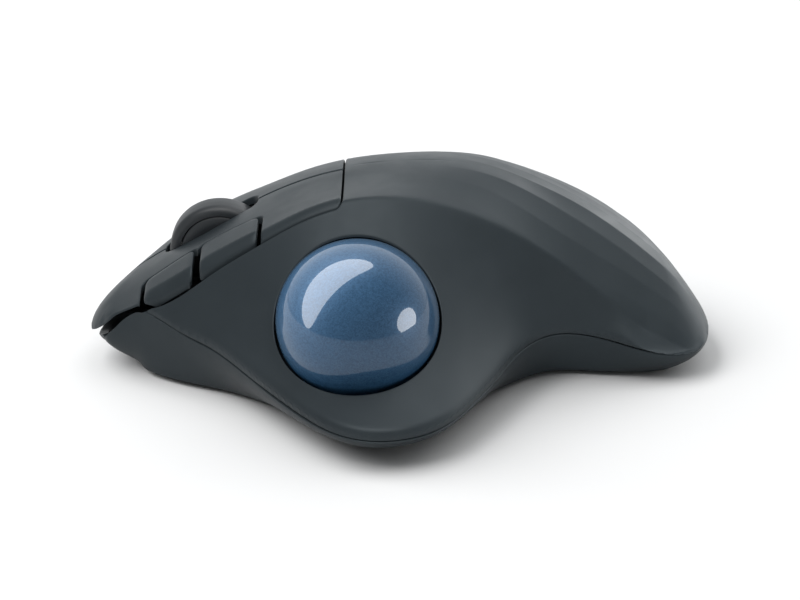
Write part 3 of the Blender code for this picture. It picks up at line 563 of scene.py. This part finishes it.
def make_bottom_case():
    """The base: a tucked-in wall with a rolled lower edge, a floor, and everything let into it."""
    rings = [wall_ring(1.0, CASE_WALL, FLOOR_TOP), wall_ring(1.0, 0.25, BASE_Z), wall_ring(1.0, 0.0, BASE_Z)]
    rings[2][:, 2] -= 0.2
    rings += [wall_ring(level, 0.0, BASE_Z) for level in np.linspace(0.95, 0.08, 20)]
    for angle in (30, 60, 90):
        ring = wall_ring(0.05, 0.0, BASE_Z)
        x, y = inward_by(ring, 1.2 * (1 - math.cos(math.radians(angle))))
        ring[:, 0], ring[:, 1] = x, y
        ring[:, 2] = BASE_Z + (ring[:, 2] - BASE_Z) * (1 - math.sin(math.radians(angle)))
        rings.append(ring)
    inner = [wall_ring(level, CASE_WALL, FLOOR_TOP) for level in (0.0, 0.3, 0.6)]
    bm = bmesh.new()
    loops = [[bm.verts.new(p) for p in ring] for ring in rings + inner]
    for one, two in zip(loops, loops[1:] + loops[:1]):
        if one is loops[len(rings) - 1]:
            continue
        for i in range(AROUND):
            j = (i + 1) % AROUND
            bm.faces.new((one[i], one[j], two[j], two[i]))
    bm.faces.new(loops[len(rings) - 1])
    bm.faces.new(loops[len(rings)])
    base = finish("base_shell", bm)
    carve(base, base_openings())
    return dress(base, "case", "bottom_case", "base")


def circle(x, y, radius, count=48):
    """The outline of a round hole."""
    angles = np.linspace(0, 2 * math.pi, count, endpoint=False)
    return [(x + radius * math.cos(a), y + radius * math.sin(a)) for a in angles]


def rounded(points, radius, count=6):
    """The polygon with its corners rounded. Its points run counter-clockwise."""
    points = np.array(points, float)
    made = []
    for before, here, after in zip(np.roll(points, 1, 0), points, np.roll(points, -1, 0)):
        into, out = here - before, after - here
        into, out = into / np.linalg.norm(into), out / np.linalg.norm(out)
        half = math.acos(np.clip(into @ out, -1, 1)) / 2
        first, last = here - into * radius * math.tan(half), here + out * radius * math.tan(half)
        for t in np.linspace(0, 1, count):
            made.append(tuple((1 - t) ** 2 * first + 2 * t * (1 - t) * here + t * t * last))
    return made


def grown(points, distance):
    """The polygon with every side moved outward by the distance."""
    points = np.array(points, float)
    moved = []
    for before, here, after in zip(np.roll(points, 1, 0), points, np.roll(points, -1, 0)):
        into, out = here - before, after - here
        into, out = into / np.linalg.norm(into), out / np.linalg.norm(out)
        n1, n2 = np.array([into[1], -into[0]]), np.array([out[1], -out[0]])
        moved.append(tuple(here + distance * (n1 + n2) / (1 + n1 @ n2)))
    return moved


def oblong(x, y, long, wide, radius):
    """A rounded rectangle of these half sizes."""
    corners = [(x - long, y - wide), (x + long, y - wide), (x + long, y + wide), (x - long, y + wide)]
    return rounded(corners, radius)


def pull(bm, low_outline, low, high_outline, high):
    """Adds a closed solid between two outlines of as many points, and returns the edges of its lower face."""
    below = [bm.verts.new((x, y, low)) for x, y in low_outline]
    above = [bm.verts.new((x, y, high)) for x, y in high_outline]
    bottom = bm.faces.new(below[::-1])
    bm.faces.new(above)
    for i in range(len(below)):
        j = (i + 1) % len(below)
        bm.faces.new((below[i], below[j], above[j], above[i]))
    return list(bottom.edges)


def base_openings():
    """What is cut out of the base: door, ball push hole, screw seats, foot pockets, slot and button."""
    bm = bmesh.new()
    door = rounded(DOOR, 1.5)
    pull(bm, door, -1, door, 5)
    pull(bm, HINGE_ROOM, -1, HINGE_ROOM, HINGE_ROOM_TOP)
    under_ball = BALL[:2]
    push_hole = circle(*under_ball, PUSH_HOLE_R - 0.01)
    pull(bm, circle(*under_ball, PUSH_HOLE_R + 2.2), 0.0, circle(*under_ball, PUSH_HOLE_R), 2.2)
    pull(bm, push_hole, 2.1, push_hole, 6)
    for x, y in SCREWS:
        seat = circle(x, y, SCREW_SEAT_R)
        pull(bm, seat, -1, seat, 5)
    for x, y, radius in FEET:
        pocket = circle(x, y, radius + 0.35)
        pull(bm, pocket, -1, pocket, BASE_Z + 0.6)
    slot = oblong(*POWER, *POWER_HALF, 1.0)
    pull(bm, slot, -1, slot, 5)
    button = circle(*CONNECT, CONNECT_R)
    pull(bm, button, -1, button, 5)
    return finish("base_openings", bm)


def carve(piece, cutter, crisp=35):
    """Cuts the cutter out of the piece, and keeps edges sharper than this many degrees crisp."""
    modifier = piece.modifiers.new("carve", "BOOLEAN")
    modifier.object = cutter
    modifier.solver = "EXACT"
    modifier.use_self = True
    graph = bpy.context.evaluated_depsgraph_get()
    mesh = bpy.data.meshes.new_from_object(piece.evaluated_get(graph))
    piece.modifiers.clear()
    piece.data = mesh
    bpy.data.objects.remove(cutter)
    bm = bmesh.new()
    bm.from_mesh(mesh)
    mark_sharp(bm, crisp)
    bm.to_mesh(mesh)
    bm.free()


def make_door():
    """The battery door: a plate with softened edges and three finger grooves."""
    bm = bmesh.new()
    outline = rounded(grown(DOOR, -0.35), 1.4)
    rim = pull(bm, outline, BASE_Z, outline, BASE_Z + DOOR_THICK)
    bmesh.ops.bevel(bm, geom=rim, offset=0.35, segments=3, profile=0.5, affect="EDGES")
    door = finish("door_skin", bm)
    grooves = bmesh.new()
    for number in range(3):
        lower = oblong(32.6 + 3.0 * number, 13.0, 0.9, 4.4, 0.8)
        upper = oblong(32.6 + 3.0 * number, 13.0, 0.5, 4.0, 0.4)
        pull(grooves, lower, BASE_Z - 0.1, upper, BASE_Z + 0.7)
    carve(door, finish("door_grooves", grooves), 20)
    dress(door, "battery_door", "battery_door", "base")


def make_feet():
    """Five low round feet with rounded rims."""
    for number, (x, y, radius) in enumerate(FEET, 1):
        profile = [(0.0, 0.0), (radius - 0.8, 0.0), *arc((radius - 0.5, 0.5), 0.5, -90, 0, 6),
                   (radius, 1.1), (0.0, 1.1)]
        foot = lathe(f"foot_{number}_skin", profile, (x, y, 0), (0, 0, 1), closed=False)
        dress(foot, "case", f"foot_{number}", "rubber", "glide")


def bay_outline(area, wall, radius):
    """The plan of a tray, this far outside its hollow."""
    x0, x1, y0, y1 = area[:4]
    return oblong((x0 + x1) / 2, (y0 + y1) / 2, (x1 - x0) / 2 + wall, (y1 - y0) / 2 + wall, radius)


def make_bays():
    """The trays behind the door, which hold the cell and the receiver."""
    for name, area in BAYS.items():
        bm = bmesh.new()
        outer = bay_outline(area, 1.2, 1.0)
        pull(bm, outer, 2.85, outer, area[4] + 1.2)
        tray = finish(name, bm)
        hollow = bmesh.new()
        pull(hollow, HINGE_ROOM, 0, HINGE_ROOM, HINGE_ROOM_TOP)
        for other in BAYS.values():
            inner = bay_outline(other, 0, 0.6)
            pull(hollow, inner, 0, inner, other[4])
        carve(tray, finish(f"{name}_hollow", hollow))
        dress(tray, "case", None, "base", "dark")


def inward_by(ring, distance):
    """Plan points moved towards the inside of a closed ring."""
    along = np.roll(ring[:, :2], -1, 0) - np.roll(ring[:, :2], 1, 0)
    along /= np.linalg.norm(along, axis=1)[:, None]
    return ring[:, 0] - along[:, 1] * distance, ring[:, 1] + along[:, 0] * distance


# ---------------------------------------------------------------- ball and wheel


def make_ball():
    """A smooth sphere."""
    bm = bmesh.new()
    bmesh.ops.create_icosphere(bm, subdivisions=6, radius=BALL_R)
    bmesh.ops.translate(bm, vec=Vector(BALL), verts=bm.verts)
    return dress(finish("ball_skin", bm), "ball", "ball", "ball")


def lathe(name, profile, centre, axis, steps=96, closed=True):
    """A profile of (radius, along) points turned round an axis."""
    bm = bmesh.new()
    points = [bm.verts.new((r, 0, a)) for r, a in profile]
    pairs = zip(points, points[1:] + points[:1]) if closed else zip(points, points[1:])
    edges = [bm.edges.new(pair) for pair in pairs]
    bmesh.ops.spin(bm, geom=points + edges, cent=(0, 0, 0), axis=(0, 0, 1), angle=2 * math.pi, steps=steps,
                   use_merge=True)
    bmesh.ops.remove_doubles(bm, verts=bm.verts, dist=0.0005)
    turn = Vector(axis).to_track_quat("Z", "Y").to_matrix().to_4x4()
    bmesh.ops.transform(bm, matrix=Matrix.Translation(Vector(centre)) @ turn, verts=bm.verts)
    return finish(name, bm)


def arc(centre, radius, first, last, count=8):
    """Points of a (radius, along) profile on a circle, by angles in degrees."""
    angles = np.radians(np.linspace(first, last, count))
    return [(centre[0] + radius * math.cos(a), centre[1] + radius * math.sin(a)) for a in angles]


def make_wheel():
    """The tyre: a slightly crowned tread with rounded shoulders."""
    half = WHEEL_HALF
    tread = [(HUB_R + 0.3, -half), *arc((WHEEL_R - 1.6, -half + 1.6), 1.6, -90, -18),
             *arc((WHEEL_R - 14.0, 0), 14.0, -7, 7, 9)[1:-1],
             *arc((WHEEL_R - 1.6, half - 1.6), 1.6, 18, 90), (HUB_R + 0.3, half)]
    dress(lathe("tyre_skin", tread, WHEEL, (0, 1, 0)), "wheel", "wheel_tyre", "rubber")


def make_hub():
    """The hub's faces: a shallow dish, nearly flush with the tyre, with a small boss round the axle."""
    half = WHEEL_HALF - 0.15
    side = [(HUB_R, half - 0.25), (HUB_R - 0.3, half), (HUB_R - 2.5, half - 0.15), (4.0, half - 0.5),
            (3.0, half - 0.5)]
    boss = [(2.6, half), (1.0, half)]
    upper = side + boss
    face = [(r, -a) for r, a in upper[::-1]] + upper
    dress(lathe("hub_skin", face, WHEEL, (0, 1, 0)), "wheel", "wheel_hub", "dark", "rubber")


# ---------------------------------------------------------------- materials


class Look:
    """A Principled material and its nodes. Every texture is laid out in the object's own metres."""

    def __init__(self, name, colour, roughness, metallic=0.0, **sockets):
        self.material = bpy.data.materials.new(name)
        self.material.use_nodes = True
        self.nodes, self.links = self.material.node_tree.nodes, self.material.node_tree.links
        self.shader = self.nodes["Principled BSDF"]
        self.colour = colour
        self.shader.inputs["Base Color"].default_value = (*colour, 1)
        self.shader.inputs["Roughness"].default_value = roughness
        self.shader.inputs["Metallic"].default_value = metallic
        self.roughness = roughness
        for socket, value in sockets.items():
            self.shader.inputs[socket.replace("_", " ")].default_value = value
        self.place = self.nodes.new("ShaderNodeTexCoord").outputs["Object"]
        self.normal = None

    def noise(self, size_mm, detail=2.0, stretch=None):
        """Cloudy noise whose blotches are about this size."""
        texture = self.nodes.new("ShaderNodeTexNoise")
        texture.inputs["Scale"].default_value = 1 / (size_mm * MM)
        texture.inputs["Detail"].default_value = detail
        source = self.place
        if stretch:
            mapping = self.nodes.new("ShaderNodeMapping")
            mapping.inputs["Scale"].default_value = stretch
            self.links.new(source, mapping.inputs["Vector"])
            source = mapping.outputs["Vector"]
        self.links.new(source, texture.inputs["Vector"])
        return texture.outputs["Fac"]

    def spots(self, size_mm):
        """Random grey cells of this size."""
        texture = self.nodes.new("ShaderNodeTexVoronoi")
        texture.inputs["Scale"].default_value = 1 / (size_mm * MM)
        self.links.new(self.place, texture.inputs["Vector"])
        parts = self.nodes.new("ShaderNodeSeparateColor")
        self.links.new(texture.outputs["Color"], parts.inputs["Color"])
        return parts.outputs["Red"]

    def spread(self, source, low, high, from_low=0.3, from_high=0.7):
        """Maps a texture's value to a range."""
        node = self.nodes.new("ShaderNodeMapRange")
        sockets = ("From Min", "From Max", "To Min", "To Max")
        for socket, value in zip(sockets, (from_low, from_high, low, high)):
            node.inputs[socket].default_value = value
        self.links.new(source, node.inputs["Value"])
        return node.outputs["Result"]

    def tint(self, source, dark, light):
        """Mixes two colours by a value from 0 to 1."""
        mix = self.nodes.new("ShaderNodeMix")
        mix.data_type = "RGBA"
        mix.inputs["A"].default_value = (*dark, 1)
        mix.inputs["B"].default_value = (*light, 1)
        self.links.new(source, mix.inputs["Factor"])
        return mix.outputs["Result"]

    def mottle(self, size_mm, amount):
        """Lighter and darker areas round the base colour."""
        share = self.spread(self.noise(size_mm), 0.0, 1.0)
        dark = [c * (1 - amount) for c in self.colour]
        light = [c * (1 + amount) for c in self.colour]
        self.links.new(self.tint(share, dark, light), self.shader.inputs["Base Color"])

    def rough(self, size_mm, amount):
        """Glossier and duller areas round the base roughness."""
        share = self.spread(self.noise(size_mm), self.roughness - amount, self.roughness + amount)
        self.links.new(share, self.shader.inputs["Roughness"])

    def bump(self, source, depth_mm, strength=1.0):
        """Adds relief of this depth on top of whatever relief there is."""
        node = self.nodes.new("ShaderNodeBump")
        node.inputs["Distance"].default_value = depth_mm * MM
        node.inputs["Strength"].default_value = strength
        self.links.new(source, node.inputs["Height"])
        if self.normal:
            self.links.new(self.normal, node.inputs["Normal"])
        self.normal = node.outputs["Normal"]
        self.links.new(self.normal, self.shader.inputs["Normal"])


def moulded(name, colour, roughness, grain_mm, depth_mm, **sockets):
    """Moulded plastic: a spark-eroded grain, faint flow marks, and uneven gloss."""
    look = Look(name, colour, roughness, **sockets)
    look.mottle(9.0, 0.05)
    look.rough(5.0, 0.03)
    look.bump(look.noise(grain_mm, 3.0), depth_mm)
    return look.material


def make_looks():
    """One look for each material slot, and the pale plastic of the feet."""
    satin = {"Specular_IOR_Level": 0.25, "Specular_Tint": (0.85, 0.95, 1.0, 1)}
    looks = {
        "graphite": moulded("graphite", (0.021, 0.0265, 0.0302), 0.43, 0.16, 0.010, **satin),
        "base": moulded("base", (0.018, 0.0235, 0.027), 0.46, 0.18, 0.010, **satin),
        "dark": moulded("dark", (0.008, 0.009, 0.010), 0.5, 0.2, 0.008, **satin),
        "rubber": moulded("rubber", (0.016, 0.019, 0.022), 0.48, 0.3, 0.006),
        "glide": moulded("glide", (0.10, 0.105, 0.11), 0.35, 0.5, 0.004),
        "plunger": moulded("plunger", (0.75, 0.75, 0.72), 0.4, 0.2, 0.004),
        "lens": moulded("lens", (0.7, 0.75, 0.8), 0.08, 0.5, 0.001, Transmission_Weight=0.85),
        "ceramic": moulded("ceramic", (0.85, 0.85, 0.82), 0.12, 0.4, 0.001),
    }
    pearl = Look("pearl_blue", (0.016, 0.052, 0.105), 0.4, 0.22, Specular_IOR_Level=0.15,
                 Coat_Weight=1.0, Coat_Roughness=0.02, Coat_IOR=1.44)
    flakes = pearl.spread(pearl.spots(0.22), 0.0, 1.0, 0.0, 1.0)
    colour = pearl.tint(flakes, (0.010, 0.039, 0.083), (0.024, 0.069, 0.134))
    pearl.links.new(colour, pearl.shader.inputs["Base Color"])
    looks["ball"] = pearl.material

    steel = Look("steel", (0.6, 0.61, 0.62), 0.3, 1.0)
    steel.rough(0.4, 0.06)
    steel.bump(steel.noise(0.12, 2.0, (1, 8, 1)), 0.002)
    looks["steel"] = steel.material

    board = Look("board", (0.006, 0.028, 0.016), 0.38)
    board.mottle(1.5, 0.25)
    board.bump(board.noise(0.8, 1.0), 0.02)
    looks["board"] = board.material

    cell = Look("cell", (0.16, 0.3, 0.2), 0.3)
    cell.mottle(6.0, 0.08)
    cell.bump(cell.noise(2.5, 1.0), 0.01)
    looks["cell"] = cell.material
    return looks


LOOKS = make_looks()


def paint_cad_nodes():
    """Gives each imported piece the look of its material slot."""
    slots = {part["node"]: part["material_slot"] for part in frame["record"]["subparts"]}
    for name, node in frame["nodes"].items():
        node.data.materials.clear()
        node.data.materials.append(LOOKS[slots[name]])


# ---------------------------------------------------------------- stage


def make_stage():
    """A plain pale desk."""
    bm = bmesh.new()
    bmesh.ops.create_grid(bm, x_segments=8, y_segments=8, size=3.0)
    mesh = bpy.data.meshes.new("floor")
    bm.to_mesh(mesh)
    bm.free()
    floor = bpy.data.objects.new("floor", mesh)
    floor.location.z = -0.0002
    bpy.context.scene.collection.objects.link(floor)
    look = Look("pale_floor", (0.52, 0.52, 0.52), 0.8)
    look.mottle(120.0, 0.01)
    mesh.materials.append(look.material)
    return floor


def make_room():
    """The studio round the desk: a bright wall behind it, and shade on the near side."""
    world = bpy.data.worlds.new("studio")
    world.use_nodes = True
    nodes, links = world.node_tree.nodes, world.node_tree.links
    way = nodes.new("ShaderNodeTexCoord").outputs["Generated"]
    parts = nodes.new("ShaderNodeSeparateXYZ")
    shade = nodes.new("ShaderNodeMapRange")
    for socket, value in zip(("From Min", "From Max", "To Min", "To Max"), (-0.05, 0.9, 0.3, 1.3)):
        shade.inputs[socket].default_value = value
    nodes["Background"].inputs["Color"].default_value = (0.95, 0.98, 1.0, 1)
    links.new(way, parts.inputs["Vector"])
    links.new(parts.outputs["Y"], shade.inputs["Value"])
    links.new(shade.outputs["Result"], nodes["Background"].inputs["Strength"])
    bpy.context.scene.world = world


def softbox(name, place, out, along, size, radiance, shape="RECTANGLE"):
    """A flat studio light facing back along `out`, its first side along `along`. Metres, W per sr and m2."""
    back = Vector(out).normalized()
    side = (Vector(along) - Vector(along).dot(back) * back).normalized()
    data = bpy.data.lights.new(name, "AREA")
    data.shape = shape
    data.size, data.size_y = size
    area = size[0] * size[1] * (math.pi / 4 if shape == "ELLIPSE" else 1)
    data.energy = radiance * math.pi * area
    light = bpy.data.objects.new(name, data)
    turn = Matrix((side, back.cross(side), back)).transposed().to_4x4()
    light.matrix_world = Matrix.Translation(Vector(place)) @ turn
    bpy.context.scene.collection.objects.link(light)
    return light


def flag(light, pieces, state):
    """Flags a light as studio cards do: it falls only on these pieces, or on everything but them."""
    group = bpy.data.collections.new(f"{light.name}_flags")
    for piece in pieces:
        group.objects.link(piece)
    light.light_linking.receiver_collection = group
    for member in group.collection_objects:
        member.light_linking.link_state = state


def make_lights(ball, floor):
    """A long key and a small glint on the ball alone, a wash on the desk, and soft light round the case."""
    centre = Vector(BALL - ORIGIN) * MM
    left, right = Vector((-0.60, 0.04, 0.79)), Vector((0.96, -0.26, 0.12))
    key = softbox("key", centre + left * 0.6, left, (0.69, 0.44, 0.58), (1.8, 0.46), 8.0, "ELLIPSE")
    glint = softbox("glint", centre + right * 0.55, right, (0, 1, 0), (0.34, 0.26), 9.0, "ELLIPSE")
    for light in (key, glint):
        flag(light, (ball,), "INCLUDE")
    beside = Vector((-0.6, 0, 0.8))
    flag(softbox("wash", beside, beside, (0, 1, 0), (1.0, 0.8), 7.0), (floor,), "INCLUDE")
    above, behind = Vector((0.4, 0.15, 0.9)), Vector((0.75, 0.6, 0.25))
    front = Vector((-0.05, -0.55, 0.83))
    overhead = softbox("overhead", above * 1.8, above, (1, 0, 0), (1.9, 1.1), 1.8)
    rear = softbox("rear", behind, behind, (1, 0, 0.3), (1.0, 0.6), 2.7)
    for light in (overhead, rear):
        flag(light, (ball,), "EXCLUDE")
    fill = softbox("fill", front * 1.2, front, (1, 0, 0), (1.1, 0.6), 5.5)
    flag(fill, (ball, floor), "EXCLUDE")


def make_camera():
    """Level with the long side, 25 degrees above the desk and half a metre away."""
    elevation, distance = math.radians(25), 0.5
    aim = Vector((0, 0, 0.024)) - Vector(ORIGIN) * MM
    data = bpy.data.cameras.new("camera")
    data.lens, data.sensor_width = 103.5, 36.0
    data.shift_y = -0.0533
    data.clip_start = 0.01
    camera = bpy.data.objects.new("camera", data)
    camera.location = aim + Vector((0, -math.cos(elevation), math.sin(elevation))) * distance
    camera.rotation_euler = (math.radians(90) - elevation, 0, 0)
    bpy.context.scene.collection.objects.link(camera)
    bpy.context.scene.camera = camera


# ---------------------------------------------------------------- the whole scene

make_camera()
make_room()
floor = make_stage()
paint_cad_nodes()
make_top_case()
make_main_buttons()
make_side_buttons()
make_bottom_case()
make_bays()
make_door()
make_feet()
ball = make_ball()
make_wheel()
make_hub()
make_lights(ball, floor)
bpy.context.scene.view_settings.view_transform = "Standard"
